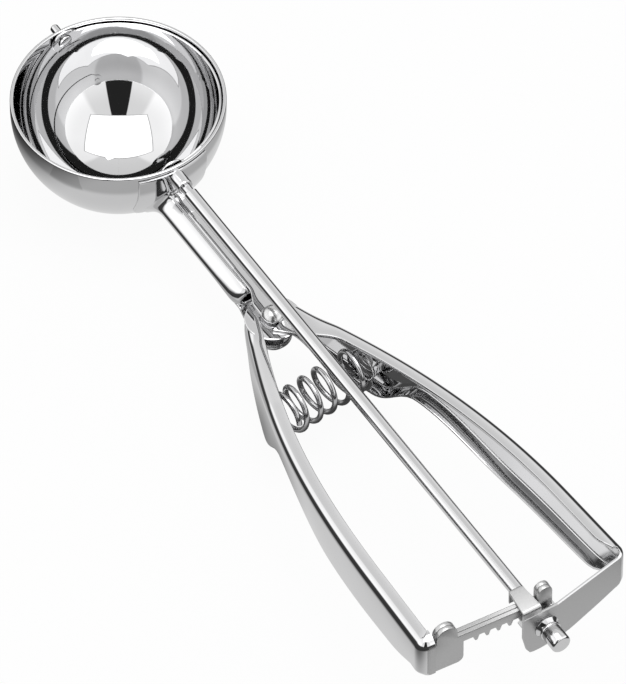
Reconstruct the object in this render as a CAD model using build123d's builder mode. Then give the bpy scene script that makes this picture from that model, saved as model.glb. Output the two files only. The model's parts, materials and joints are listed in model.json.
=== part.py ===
from build123d import *
import math
import os

# Lever ice cream scoop, in millimetres.
# The origin is the centre of the bowl's sphere, on the axis of the scraper shaft.
# +X runs along the shaft from the bowl to the knob, +Z points out of the bowl's mouth,
# and +Y is the side of the fixed handle. The scoop is drawn with its lever released.

# ---- driving dimensions ----

# bowl
bowl_radius = 29.5
bowl_wall = 1.0
rim_height = 3.3

# scraper blade, a strip of the sphere that hangs on the shaft at both ends of the bowl
blade_gap = 0.3
blade_thickness = 0.6
blade_above = 2.4
blade_below = 6.0
blade_tab_radius = 4.0
far_pin_diameter = 2.4
far_pin_reach = 4.0
far_pin_head_diameter = 4.0
far_pin_head_thickness = 0.5
far_pin_head_seat = 0.15

# scraper shaft
rod_diameter = 4.0
journal_diameter = 3.0
journal_length = 7.7
journal_stub = 0.6
front_bush_length = 5.1
bush_wall = 0.75
running_gap = 0.05

# neck bracket, one sheet that cups the bowl and is rolled into a tube under the shaft
bracket_sheet = 0.8
cup_gap = 0.02
cup_half_angle = 21.0
cup_top = 2.2
cup_bottom = -15.0
neck_width = 9.0
neck_top = -7.5
neck_height = 8.0
neck_bend = 2.2
neck_seam = 0.5
seam_y = -1.0
clevis_drop = 0.7
clevis_reach = 9.0
joggle_length = 7.0
clevis_bend = 0.25

# pivot
pivot_x = 79.0
rivet_diameter = 4.0
rivet_head_diameter = 6.4
rivet_head_height = 1.9
rivet_head_round = 1.5
rivet_foot_height = 1.2
rivet_foot_edge = 0.6
washer_diameter = 8.0
washer_thickness = 0.6
ear_radius = 7.8
ear_gap = 0.1
ear_side_gap = 0.4
ear_space = 5.0

# handles, both pressed from the same sheet as channels that open towards the shaft
handle_sheet = 0.8
handle_pitch = 8.9
flange_width = 4.8
handle_edge_radius = 3.0
flange_cutback = 1.0
root_out = 8.4
shoulder_along, shoulder_out = 36.0, 19.9
palm_along, palm_out = 104.0, 27.6
fixed_corner_out = 27.2
lever_corner_out = 28.4
end_corner_radius = 3.0
root_slope = 0.38
root_height, root_fall = 8.6, -0.45
belly_along, belly_height, belly_fall = 27.0, 16.6, 0.0
waist_along, waist_height, waist_fall = 44.0, 8.4, 0.1
grip_along, grip_height, grip_fall = 80.0, 15.4, 0.1
tail_along, tail_height, tail_fall = 118.0, 15.2, 0.22
tip_height, tip_fall = 12.0, 0.45
open_angle = 3.9

# end plate of the fixed handle, with the tab that keeps the rack on the pinion
end_plate_x = 214.8
end_plate_slant = 2.9
end_plate_bend_y = 3.5
end_plate_left = -7.3
end_plate_low = -8.0
end_plate_top = 7.2
end_plate_side_top = 9.2
end_plate_side_low = -1.6
end_plate_corner = 3.0
tab_right = -1.6
tab_length = 7.6
tab_gap = 0.25
tab_lip = 4.0

# rack, two equal sheets on the lever
rack_sheet = 1.4
rack_plate_gap = 1.4
tooth_pitch = 3.39
tooth_count = 7
tooth_depth = 1.75
tooth_tip_width = 0.7
tooth_base_width = 1.9
rack_bar = 2.95
first_tooth_rest_y = 0.4
stop_height = 5.0
right_stop_width = 4.3
left_stop_width = 6.4
stop_play = 0.2
left_stop_from_teeth = 5.6
rack_heel_reach = 1.8
rack_heel_drop = 10.8
rack_heel_round = 2.0
lever_tab_length = 4.8

# pinion
pinion_teeth = 9
pinion_tooth_width = 1.35
pinion_tip_width = 0.55
pinion_root_width = 1.88
pinion_root_gap = 0.25
pinion_tip_gap = 0.25
pinion_addendum = 0.75
pinion_side_gap = 0.5

# rear bearing and knob
rear_bush_diameter = 5.2
rear_bush_flare = 7.2
rear_bush_reach = 1.3
ring_diameter = 6.2
ring_thickness = 0.9
knob_diameter = 5.7
knob_length = 5.3
knob_edge = 0.4
knob_pin_diameter = 3.0
knob_pin_length = 3.2

# return spring between the handles
wire_diameter = 1.6
spring_diameter = 13.4
spring_turns = 6.0
spring_left_x, spring_left_y = 106.0, -13.8
spring_right_x, spring_right_y = 102.5, 12.6
spring_floor_gap = 1.07
seat_diameter = 9.2
seat_reach = 3.4

# ---- derived levels and frames ----

sheet_step = handle_sheet + ear_gap
clevis_top = neck_top - clevis_drop
outer_ear_top = clevis_top - bracket_sheet - ear_gap
inner_ear_top = outer_ear_top - sheet_step
inner_ear_low = inner_ear_top - handle_sheet - ear_space
outer_ear_low = inner_ear_low - sheet_step
clevis_bottom = outer_ear_low - handle_sheet - ear_gap - bracket_sheet

bowl_inner_radius = bowl_radius - bowl_wall
blade_outer_radius = bowl_inner_radius - blade_gap
blade_inner_radius = blade_outer_radius - blade_thickness
journal_start = blade_inner_radius - journal_stub
journal_end = bowl_radius + journal_length
rear_bush_radius = rod_diameter / 2 + running_gap + bush_wall
front_bush_radius = journal_diameter / 2 + running_gap + bush_wall
cup_inner_radius = bowl_radius + cup_gap
cup_outer_radius = cup_inner_radius + bracket_sheet

fixed_frame = Plane(origin=(pivot_x, 0, 0), x_dir=(1, 0, 0), z_dir=(0, 0, 1))
open_turn = math.radians(open_angle)
lever_frame = Plane(
    origin=(pivot_x, 0, 0),
    x_dir=(math.cos(open_turn), -math.sin(open_turn), 0),
    z_dir=(0, 0, 1),
)
far = 2 * bowl_radius
rise = math.tan(math.radians(handle_pitch))

end_plate_along = end_plate_x - pivot_x
rack_front_along = end_plate_along - handle_sheet - rack_plate_gap
rack_middle_along = rack_front_along - rack_sheet
rack_back_along = rack_middle_along - rack_sheet
lever_wall_along = rack_front_along + handle_sheet

pitch_radius = pinion_teeth * tooth_pitch / (2 * math.pi)
pinion_tip_radius = pitch_radius + pinion_addendum
rack_root_z = pinion_tip_radius + pinion_tip_gap
rack_tip_z = rack_root_z - tooth_depth
rack_top_z = rack_root_z + rack_bar
pinion_root_radius = rack_tip_z - pinion_root_gap
tab_low = rack_top_z + tab_gap
first_tooth = (
    first_tooth_rest_y + rack_middle_along * math.sin(open_turn)
) / math.cos(open_turn)
last_tooth = first_tooth - (tooth_count - 1) * tooth_pitch


# ---- shared shapes ----


def side_plane(frame):
    """The upright plane along a handle: x runs from the pivot, y is height."""
    return Plane(origin=frame.origin, x_dir=frame.x_dir, z_dir=-frame.y_dir)


def cross_plane(frame, along):
    """The upright plane across a handle: x points to +Y, y is height."""
    start = frame.from_local_coords(Vector(along, 0, 0))
    return Plane(origin=start, x_dir=frame.y_dir, z_dir=frame.x_dir)


def handle_top(along):
    """Height of the top flange, which climbs towards the end of the handle."""
    return outer_ear_top + rise * along


def mitred(points, distance):
    """An open run of straight plan lines moved to its left by distance."""
    moved = []
    steps = [
        Vector(*end, 0) - Vector(*start, 0) for start, end in zip(points, points[1:])
    ]
    normals = [step.normalized().rotate(Axis.Z, 90) for step in steps]
    for place, point in enumerate(points):
        before = normals[max(place - 1, 0)]
        after = normals[min(place, len(normals) - 1)]
        bisector = (before + after).normalized()
        moved.append(Vector(*point, 0) + bisector * (distance / bisector.dot(after)))
    return moved


def wall_line(side, wall_along, tail, inset):
    """Adds a handle's wall, in plan, at a distance inside its outside face.

    The line runs out to wall_along, and round the corner there along the points in
    tail. It returns the line's two ends."""
    corner_out = fixed_corner_out if side > 0 else lever_corner_out
    palm = (palm_along, side * palm_out)
    corner = (wall_along, side * corner_out)
    heading = (corner[0] - palm[0], corner[1] - palm[1])
    with BuildLine(mode=Mode.PRIVATE) as outside:
        Spline(
            (0, side * root_out),
            (shoulder_along, side * shoulder_out),
            palm,
            tangents=[(1, side * root_slope), heading],
        )
    shares = (0, 0.2, 0.4, 0.6, 0.8, 1)
    inward = [(outside.line % share).rotate(Axis.Z, -90 * side) for share in shares]
    curve = [
        outside.line @ share + turn * inset for share, turn in zip(shares, inward)
    ]
    Spline(*curve, tangents=[outside.line % 0, outside.line % 1])
    straight = mitred([palm, corner, *tail], -side * inset)
    if tail:
        FilletPolyline(*straight, radius=end_corner_radius - inset)
    else:
        Line(*straight)
    return curve[0], straight[-1]


def ribbon(frame, low, side, wall_along, tail, near, deep):
    """A plan strip that starts near and ends deep inside the handle's outside face."""
    with BuildSketch(frame.offset(low)) as strip:
        with BuildLine():
            outer_start, outer_end = wall_line(side, wall_along, tail, near)
            inner_start, inner_end = wall_line(side, wall_along, tail, deep)
            Line(outer_start, inner_start)
            Line(outer_end, inner_end)
        make_face()
    return strip.sketch


def handle_side(wall_along, inset):
    """Adds the side outline of a handle's channel, inset by the sheet for its inside."""
    flange_end = wall_along - end_corner_radius - flange_cutback
    shape = (
        (0, root_height, root_fall),
        (belly_along, belly_height, belly_fall),
        (waist_along, waist_height, waist_fall),
        (grip_along, grip_height, grip_fall),
        (tail_along, tail_height, tail_fall),
        (flange_end, tip_height, tip_fall),
    )
    low = [(along, handle_top(along) - height + inset) for along, height, fall in shape]
    high = [(along, handle_top(along) - inset) for along in (flange_end, 0)]
    Line(*high)
    Line(high[1], low[0])
    Spline(*low, tangents=[(1, fall) for along, height, fall in shape])
    Line(low[-1], high[0])


def channel_solid(frame, side, wall_along, inset):
    """The full body of a handle's channel, or of the hollow inside its sheet."""
    depth = flange_width + 2 * inset
    with BuildPart() as body:
        add(ribbon(frame, -far, side, wall_along, (), inset, depth))
        extrude(amount=2 * far)
        with BuildSketch(side_plane(frame)):
            with BuildLine():
                handle_side(wall_along, inset)
            make_face()
        extrude(amount=far, both=True, mode=Mode.INTERSECT)
        top_face = body.faces().sort_by(Axis.Z)[-1]
        outer_edge = top_face.edges().sort_by(lambda edge: side * edge.center().Y)[-1]
        fillet(outer_edge, handle_edge_radius - inset)
    return body.part


def ear(frame, side, wall_along, top):
    """A flat ear round the pivot, with a tongue that reaches the handle's wall."""
    root = (2 * ear_radius, side * (root_out + ear_radius / 2))
    with BuildPart() as plate:
        with BuildSketch(frame.offset(top)) as shape:
            with BuildSketch(mode=Mode.PRIVATE) as reach:
                Circle(ear_radius)
                with Locations(root):
                    Circle(flange_width / 2)
                make_hull()
            add(reach.sketch)
            add(
                ribbon(Plane.XY, 0, side, wall_along, (), 0, 2 * ear_radius),
                mode=Mode.INTERSECT,
            )
            Circle(ear_radius)
        extrude(amount=-handle_sheet)
    return plate.part


def end_wall(frame, side, wall_along, tail, outline):
    """The sheet that turns the handle's corner, cut to an outline drawn from behind."""
    start = wall_along - 2 * end_corner_radius
    with BuildPart() as wall:
        add(ribbon(frame, -far, side, wall_along, tail, 0, handle_sheet))
        extrude(amount=2 * far)
        with BuildSketch(cross_plane(frame, start)):
            Polygon(*outline, align=None)
        extrude(amount=far, mode=Mode.INTERSECT)
    return wall.part


def handle_solid(frame, side, wall_along, tail, outline, ear_top, ear_low, bore_gap):
    """A whole handle: channel, end wall and two ears with their rivet holes."""
    with BuildPart() as body:
        add(channel_solid(frame, side, wall_along, 0))
        add(channel_solid(frame, side, wall_along, handle_sheet), mode=Mode.SUBTRACT)
        with BuildSketch(frame.offset(-far)):
            Circle(ear_radius + ear_side_gap)
        extrude(amount=2 * far, mode=Mode.SUBTRACT)
        add(end_wall(frame, side, wall_along, tail, outline))
        add(ear(frame, side, wall_along, ear_top))
        add(ear(frame, side, wall_along, ear_low))
        with BuildSketch(frame.offset(-far)):
            Circle(rivet_diameter / 2 + bore_gap)
        extrude(amount=2 * far, mode=Mode.SUBTRACT)
    return body.part


# ---- bowl ----

with BuildPart() as bowl:
    with BuildSketch(Plane.XZ):
        with BuildLine():
            outer_arc = CenterArc((0, 0), bowl_radius, -90, 90)
            Polyline(
                outer_arc @ 1,
                (bowl_radius, rim_height),
                (bowl_inner_radius, rim_height),
                (bowl_inner_radius, 0),
            )
            inner_arc = CenterArc((0, 0), bowl_inner_radius, -90, 90)
            Line(inner_arc @ 0, outer_arc @ 0)
        make_face()
    revolve(axis=Axis.Z)
    with BuildSketch(Plane.YZ):
        Circle(front_bush_radius)
    extrude(amount=far, mode=Mode.SUBTRACT)
    with BuildSketch(Plane.YZ):
        Circle(far_pin_diameter / 2 + running_gap)
    extrude(amount=-far, mode=Mode.SUBTRACT)
bowl.part.label = "bowl"

# ---- neck bracket: cup strap, rolled neck and clevis ----

clevis_start = pivot_x - clevis_reach
joggle_start = clevis_start - joggle_length
neck_middle = neck_top - neck_height / 2
clevis_middle = (clevis_top + clevis_bottom) / 2
clevis_height = clevis_top - clevis_bottom


def neck_stage(x, middle, height, bend, inset):
    """One rounded cross-section of the neck tube, with its sheet's inside bend radius."""
    corner = bend + bracket_sheet - inset
    with BuildSketch(Plane.YZ.offset(x)) as stage:
        with Locations((0, middle)):
            RectangleRounded(neck_width - 2 * inset, height - 2 * inset, corner)
    return stage.sketch


def neck_tube(inset):
    """The rolled tube under the shaft, as one full bar."""
    start = cup_inner_radius - neck_height
    with BuildPart() as tube:
        stage = neck_stage(start, neck_middle, neck_height, neck_bend, inset)
        extrude(stage, amount=joggle_start - start, dir=(1, 0, 0))
    return tube.part


def neck_joggle(inset):
    """The end of the tube that drops to the clevis, as one full bar."""
    with BuildPart() as joggle:
        add(neck_stage(joggle_start, neck_middle, neck_height, neck_bend, inset))
        add(neck_stage(clevis_start, clevis_middle, clevis_height, clevis_bend, inset))
        loft()
    return joggle.part


with BuildPart() as cup_strap:
    with BuildSketch(Plane.XZ):
        with BuildLine():
            low_angle = math.degrees(math.asin(cup_bottom / cup_outer_radius))
            cup_outer = CenterArc((0, 0), cup_outer_radius, low_angle, -low_angle)
            cup_inner = CenterArc((0, 0), cup_inner_radius, low_angle, -low_angle)
            Polyline(
                cup_outer @ 1,
                (cup_outer_radius, cup_top),
                (cup_inner_radius, cup_top),
                cup_inner @ 1,
            )
            Line(cup_inner @ 0, cup_outer @ 0)
        make_face()
    revolve(axis=Axis.Z)
    with BuildSketch(Plane.XY.offset(-far)):
        with BuildLine():
            edge_angle = math.radians(cup_half_angle)
            edge_reach = (far * math.cos(edge_angle), far * math.sin(edge_angle))
            Polyline((0, 0), edge_reach, (edge_reach[0], -edge_reach[1]), close=True)
        make_face()
    extrude(amount=2 * far, mode=Mode.INTERSECT)

with BuildPart() as neck_bracket:
    add(neck_tube(0))
    add(neck_joggle(0))
    add(neck_tube(bracket_sheet), mode=Mode.SUBTRACT)
    add(neck_joggle(bracket_sheet), mode=Mode.SUBTRACT)
    Sphere(cup_inner_radius, mode=Mode.SUBTRACT)
    add(cup_strap.part)
    with BuildSketch(Plane.XY.offset(neck_middle)):
        with Locations(((cup_outer_radius + joggle_start) / 2, seam_y)):
            Rectangle(joggle_start - cup_outer_radius, neck_seam)
    extrude(amount=neck_height, mode=Mode.SUBTRACT)
    for level in (clevis_top, clevis_bottom + bracket_sheet):
        with BuildSketch(Plane.XY.offset(level)):
            with Locations((pivot_x - clevis_reach / 2, 0)):
                Rectangle(clevis_reach, neck_width)
            with Locations((pivot_x, 0)):
                Circle(neck_width / 2)
                Circle(rivet_diameter / 2, mode=Mode.SUBTRACT)
        extrude(amount=-bracket_sheet)
    with BuildSketch(Plane.YZ):
        Circle(front_bush_radius)
    extrude(amount=joggle_start, mode=Mode.SUBTRACT)
neck_bracket.part.label = "neck_bracket"

# ---- pivot ----

with BuildPart() as pivot_rivet:
    with BuildSketch(Plane.XY.offset(clevis_bottom - washer_thickness)):
        with Locations((pivot_x, 0)):
            Circle(rivet_diameter / 2)
    extrude(amount=clevis_height + washer_thickness)
    with BuildSketch(Plane.XY.offset(clevis_top)):
        with Locations((pivot_x, 0)):
            Circle(rivet_head_diameter / 2)
    extrude(amount=rivet_head_height)
    fillet(pivot_rivet.edges().sort_by(Axis.Z)[-1], rivet_head_round)
    with BuildSketch(Plane.XY.offset(clevis_bottom - washer_thickness)):
        with Locations((pivot_x, 0)):
            Circle(rivet_head_diameter / 2)
    extrude(amount=-rivet_foot_height)
    chamfer(pivot_rivet.edges().sort_by(Axis.Z)[0], rivet_foot_edge)
pivot_rivet.part.label = "pivot_rivet"

with BuildPart() as pivot_washer:
    with BuildSketch(Plane.XY.offset(clevis_bottom)):
        with Locations((pivot_x, 0)):
            Circle(washer_diameter / 2)
            Circle(rivet_diameter / 2, mode=Mode.SUBTRACT)
    extrude(amount=-washer_thickness)
pivot_washer.part.label = "pivot_washer"

with BuildPart() as pivot_spacer:
    with BuildSketch(Plane.XY.offset(inner_ear_low + ear_gap / 2)):
        with Locations((pivot_x, 0)):
            Circle(rivet_head_diameter / 2)
            Circle(rivet_diameter / 2, mode=Mode.SUBTRACT)
    extrude(amount=ear_space - ear_gap)
pivot_spacer.part.label = "pivot_spacer"

# ---- fixed handle, with the end plate and the tab that keeps the rack ----

fixed_wall_along = end_plate_along - end_plate_slant
fixed_tail = (
    (end_plate_along, end_plate_bend_y),
    (end_plate_along, end_plate_left),
)
fixed_outline = (
    (fixed_corner_out + handle_sheet, end_plate_side_low),
    (fixed_corner_out + handle_sheet, end_plate_side_top),
    (end_plate_bend_y, end_plate_top),
    (tab_right, end_plate_top),
    (tab_right, tab_low + handle_sheet),
    (end_plate_left, tab_low + handle_sheet),
    (end_plate_left, end_plate_low + end_plate_corner),
    (end_plate_left + end_plate_corner, end_plate_low),
)

with BuildPart() as fixed_handle:
    add(
        handle_solid(
            fixed_frame,
            1,
            fixed_wall_along,
            fixed_tail,
            fixed_outline,
            outer_ear_top,
            outer_ear_low,
            0,
        )
    )
    tab_middle = (tab_right + end_plate_left) / 2
    with BuildSketch(Plane.XZ.offset(-tab_middle)):
        with BuildLine():
            Polyline(
                (end_plate_x, tab_low + handle_sheet),
                (end_plate_x - tab_length, tab_low + handle_sheet),
                (end_plate_x - tab_length, tab_low - tab_lip),
                (end_plate_x - tab_length + handle_sheet, tab_low - tab_lip),
                (end_plate_x - tab_length + handle_sheet, tab_low),
                (end_plate_x, tab_low),
                close=True,
            )
        make_face()
    extrude(amount=(tab_right - end_plate_left) / 2, both=True)
    with BuildSketch(Plane.YZ.offset(end_plate_x - tab_length / 2)):
        Circle(rear_bush_radius)
    extrude(amount=tab_length, mode=Mode.SUBTRACT)
fixed_handle.part.label = "fixed_handle"

# ---- lever handle ----

lever_tail = ((lever_wall_along, -(lever_corner_out - lever_tab_length)),)
lever_outline = (
    (-(lever_corner_out + handle_sheet), end_plate_side_low),
    (-(lever_corner_out + handle_sheet), end_plate_side_top),
    (0, end_plate_side_top),
    (0, end_plate_side_low),
)

with BuildPart() as lever_handle:
    add(
        handle_solid(
            lever_frame,
            -1,
            lever_wall_along,
            lever_tail,
            lever_outline,
            inner_ear_top,
            inner_ear_low,
            running_gap,
        )
    )
lever_handle.part.label = "lever_handle"

# ---- rack, two sheets that run between the end plate and the pinion ----

stop_left_y = tab_right + stop_play
shift = rack_middle_along * math.sin(open_turn)
right_stop = (stop_left_y + shift) / math.cos(open_turn)
rack_end = right_stop + right_stop_width
left_stop = last_tooth - left_stop_from_teeth
heel_right = left_stop + rack_heel_reach
heel_left = -(lever_corner_out - end_corner_radius)
heel_low = rack_top_z - rack_heel_drop
rack_heel_height = rack_top_z - heel_low
rack_stops = (
    (left_stop - left_stop_width / 2, left_stop_width),
    (right_stop + right_stop_width / 2, right_stop_width),
)


def rack_sheet_part(along):
    """One rack sheet: heel, toothed bar and the two round stops on its top edge."""
    with BuildPart() as sheet:
        with BuildSketch(cross_plane(lever_frame, along)):
            with Locations(((heel_left + heel_right) / 2, heel_low + rack_heel_height / 2)):
                RectangleRounded(heel_right - heel_left, rack_heel_height, rack_heel_round)
            with Locations(((heel_left + rack_end) / 2, rack_top_z - rack_bar / 2)):
                Rectangle(rack_end - heel_left, rack_bar)
            for middle, width in rack_stops:
                post = stop_height - width / 2
                with Locations((middle, rack_top_z + post / 2)):
                    Rectangle(width, post)
                with Locations((middle, rack_top_z + post)):
                    Circle(width / 2)
            for tooth in range(tooth_count):
                middle = first_tooth - tooth * tooth_pitch
                Polygon(
                    (middle - tooth_base_width / 2, rack_root_z + rack_bar / 2),
                    (middle - tooth_base_width / 2, rack_root_z),
                    (middle - tooth_tip_width / 2, rack_tip_z),
                    (middle + tooth_tip_width / 2, rack_tip_z),
                    (middle + tooth_base_width / 2, rack_root_z),
                    (middle + tooth_base_width / 2, rack_root_z + rack_bar / 2),
                    align=None,
                )
        extrude(amount=rack_sheet)
    return sheet.part


with BuildPart() as rack_front:
    add(rack_sheet_part(rack_middle_along))
rack_front.part.label = "rack_front"

with BuildPart() as rack_rear:
    add(rack_sheet_part(rack_back_along))
rack_rear.part.label = "rack_rear"

# ---- shaft, pinion, bearings and knob ----

bush_start = end_plate_x - handle_sheet
ring_start = end_plate_x + rear_bush_reach
knob_start = ring_start + ring_thickness
pinion_front = bush_start - pinion_side_gap
pinion_back = pivot_x + rack_back_along - pinion_side_gap

with BuildPart() as rod:
    with BuildSketch(Plane.YZ.offset(journal_start)):
        Circle(journal_diameter / 2)
    extrude(amount=journal_end - journal_start)
    with BuildSketch(Plane.YZ.offset(journal_end)):
        Circle(rod_diameter / 2)
    extrude(amount=knob_start - journal_end)
    with BuildSketch(Plane.YZ.offset(knob_start)):
        Circle(knob_pin_diameter / 2)
    extrude(amount=knob_pin_length)
rod.part.label = "rod"

with BuildPart() as front_bush:
    with BuildSketch(Plane.YZ.offset(bowl_inner_radius)):
        Circle(front_bush_radius)
        Circle(journal_diameter / 2 + running_gap, mode=Mode.SUBTRACT)
    extrude(amount=bowl_wall + front_bush_length)
front_bush.part.label = "front_bush"

with BuildPart() as rear_bush:
    with BuildSketch(Plane.YZ.offset(bush_start)):
        Circle(rear_bush_radius)
    extrude(amount=handle_sheet)
    with BuildSketch(Plane.YZ.offset(end_plate_x)):
        Circle(rear_bush_flare / 2)
    with BuildSketch(Plane.YZ.offset(end_plate_x + rear_bush_reach)):
        Circle(rear_bush_diameter / 2)
    loft()
    with BuildSketch(Plane.YZ.offset(bush_start)):
        Circle(rod_diameter / 2 + running_gap)
    extrude(amount=handle_sheet + rear_bush_reach, mode=Mode.SUBTRACT)
rear_bush.part.label = "rear_bush"

with BuildPart() as retaining_ring:
    with BuildSketch(Plane.YZ.offset(ring_start + running_gap)):
        Circle(ring_diameter / 2)
        Circle(rod_diameter / 2, mode=Mode.SUBTRACT)
    extrude(amount=ring_thickness - running_gap)
retaining_ring.part.label = "retaining_ring"

with BuildPart() as end_knob:
    with BuildSketch(Plane.YZ.offset(knob_start)):
        Circle(knob_diameter / 2)
    extrude(amount=knob_length)
    chamfer(end_knob.edges().sort_by(Axis.X)[-1], knob_edge)
    with BuildSketch(Plane.YZ.offset(knob_start)):
        Circle(knob_pin_diameter / 2)
    extrude(amount=knob_pin_length, mode=Mode.SUBTRACT)
end_knob.part.label = "end_knob"

tooth_turn = 360 / pinion_teeth
gap_turn = math.degrees(first_tooth_rest_y / pitch_radius)
first_turn = 90 - gap_turn + tooth_turn / 2
with BuildPart() as pinion:
    with BuildSketch(Plane.YZ.offset(pinion_back)):
        Circle(pinion_root_radius)
        with PolarLocations(0, pinion_teeth, start_angle=first_turn):
            Polygon(
                (rod_diameter / 2, -pinion_root_width / 2),
                (pinion_root_radius, -pinion_root_width / 2),
                (pitch_radius, -pinion_tooth_width / 2),
                (pinion_tip_radius, -pinion_tip_width / 2),
                (pinion_tip_radius, pinion_tip_width / 2),
                (pitch_radius, pinion_tooth_width / 2),
                (pinion_root_radius, pinion_root_width / 2),
                (rod_diameter / 2, pinion_root_width / 2),
                align=None,
            )
        Circle(rod_diameter / 2, mode=Mode.SUBTRACT)
    extrude(amount=pinion_front - pinion_back)
pinion.part.label = "pinion"

# ---- scraper blade and its far pin ----

with BuildPart() as blade:
    with BuildSketch(Plane.YZ.offset(-bowl_radius)):
        with Locations((bowl_radius / 2, (blade_above - blade_below) / 2)):
            Rectangle(bowl_radius, blade_above + blade_below)
        Circle(blade_tab_radius)
    extrude(amount=2 * bowl_radius)
    Sphere(blade_outer_radius, mode=Mode.INTERSECT)
    Sphere(blade_inner_radius, mode=Mode.SUBTRACT)
    with BuildSketch(Plane.YZ):
        Circle(journal_diameter / 2)
    extrude(amount=bowl_radius, mode=Mode.SUBTRACT)
    with BuildSketch(Plane.YZ):
        Circle(far_pin_diameter / 2)
    extrude(amount=-bowl_radius, mode=Mode.SUBTRACT)
blade.part.label = "blade"

with BuildPart() as blade_pin:
    with BuildSketch(Plane.YZ.offset(-blade_inner_radius)):
        Circle(far_pin_diameter / 2)
    extrude(amount=-(bowl_radius + far_pin_reach - blade_inner_radius))
    with BuildSketch(Plane.YZ.offset(-blade_inner_radius + far_pin_head_seat)):
        Circle(far_pin_head_diameter / 2)
    extrude(amount=far_pin_head_thickness)
    with BuildSketch(Plane.YZ.offset(-blade_inner_radius)):
        Circle(far_pin_diameter / 2)
    extrude(amount=far_pin_head_seat)
blade_pin.part.label = "blade_pin"

# ---- return spring and its two seats ----

belly_floor = handle_top(belly_along) - belly_height + handle_sheet
spring_z = belly_floor + spring_floor_gap + seat_diameter / 2
spring_start = Vector(spring_left_x, spring_left_y, spring_z)
spring_end = Vector(spring_right_x, spring_right_y, spring_z)
spring_line = spring_end - spring_start
coil_radius = (spring_diameter - wire_diameter) / 2

with BuildPart() as spring:
    with BuildLine() as coil:
        Helix(
            pitch=spring_line.length / spring_turns,
            height=spring_line.length,
            radius=coil_radius,
            center=spring_start,
            direction=spring_line,
        )
    with BuildSketch(Plane(origin=coil.line @ 0, z_dir=coil.line % 0)):
        Circle(wire_diameter / 2)
    sweep(path=coil.line, is_frenet=True)
spring.part.label = "spring"


def spring_seat(frame, side, wall_along, start, heading):
    """A round stud on the inside of a handle's wall that centres the spring."""
    with BuildPart() as seat:
        with BuildSketch(Plane(origin=start, z_dir=heading)):
            Circle(seat_diameter / 2)
        extrude(amount=far / 2, both=True)
        inside = ribbon(frame, -far, side, wall_along, (), handle_sheet, seat_reach)
        extrude(inside, amount=2 * far, mode=Mode.INTERSECT)
    return seat.part


with BuildPart() as spring_seat_right:
    add(spring_seat(fixed_frame, 1, fixed_wall_along, spring_end, spring_line))
spring_seat_right.part.label = "spring_seat_right"

with BuildPart() as spring_seat_left:
    add(spring_seat(lever_frame, -1, lever_wall_along, spring_start, spring_line))
spring_seat_left.part.label = "spring_seat_left"

# ---- export ----

pieces = (
    bowl,
    neck_bracket,
    pivot_rivet,
    pivot_washer,
    pivot_spacer,
    fixed_handle,
    lever_handle,
    rack_front,
    rack_rear,
    rod,
    front_bush,
    rear_bush,
    retaining_ring,
    end_knob,
    pinion,
    blade,
    blade_pin,
    spring,
    spring_seat_right,
    spring_seat_left,
)
os.makedirs("parts", exist_ok=True)
for piece in pieces:
    export_step(piece.part, f"parts/{piece.part.label}.step")
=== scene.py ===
import contextlib
import json
import math

import bmesh
import bpy
import numpy as np
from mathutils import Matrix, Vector


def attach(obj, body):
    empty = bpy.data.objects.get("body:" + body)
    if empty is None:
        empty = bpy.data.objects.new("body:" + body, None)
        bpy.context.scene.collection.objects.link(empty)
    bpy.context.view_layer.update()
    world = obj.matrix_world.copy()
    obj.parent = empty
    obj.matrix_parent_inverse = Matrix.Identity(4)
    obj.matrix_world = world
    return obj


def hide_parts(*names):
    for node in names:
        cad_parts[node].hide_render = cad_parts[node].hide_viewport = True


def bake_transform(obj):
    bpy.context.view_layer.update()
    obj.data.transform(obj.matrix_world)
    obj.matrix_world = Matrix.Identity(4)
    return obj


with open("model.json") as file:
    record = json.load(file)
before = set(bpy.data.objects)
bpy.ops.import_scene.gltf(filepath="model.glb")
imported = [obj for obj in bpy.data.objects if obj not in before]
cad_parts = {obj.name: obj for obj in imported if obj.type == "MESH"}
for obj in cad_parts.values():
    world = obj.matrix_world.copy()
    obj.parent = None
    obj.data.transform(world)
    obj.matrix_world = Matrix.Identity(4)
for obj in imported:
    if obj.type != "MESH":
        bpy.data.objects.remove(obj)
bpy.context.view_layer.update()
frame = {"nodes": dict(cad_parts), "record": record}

# Lever ice cream scoop. Lengths are in millimetres until a mesh is made, in the part's own frame:
# the origin is the centre of the bowl's sphere, +X runs along the shaft from the bowl to the knob,
# +Z points out of the bowl's mouth, and +Y is the side of the fixed handle.

MM = 0.001

# ---- sizes shared with the solids ----

BOWL_RADIUS, BOWL_INSIDE, RIM_Z = 29.5, 28.5, 3.3
BLADE_OUTSIDE, BLADE_INSIDE = 28.2, 27.6
BLADE_LOW, BLADE_HIGH, BLADE_TAB = -6.0, 2.4, 4.0
SHEET = 0.8
PIVOT_X = 79.0
END_PLATE_X = 214.8

# Top of the fixed handle's upper ear, the step down to the lever's ear, and the ears' radii.
EAR_TOP, EAR_STEP, EAR_RADIUS, LOW_EAR_RADIUS = -9.1, 0.9, 7.8, 5.2

# The slope of the handles' flanges, and the angle at which the lever stands open at rest.
CLIMB = math.tan(math.radians(8.9))
LEVER_OPEN = math.radians(3.9)

# ---- materials ----


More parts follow.
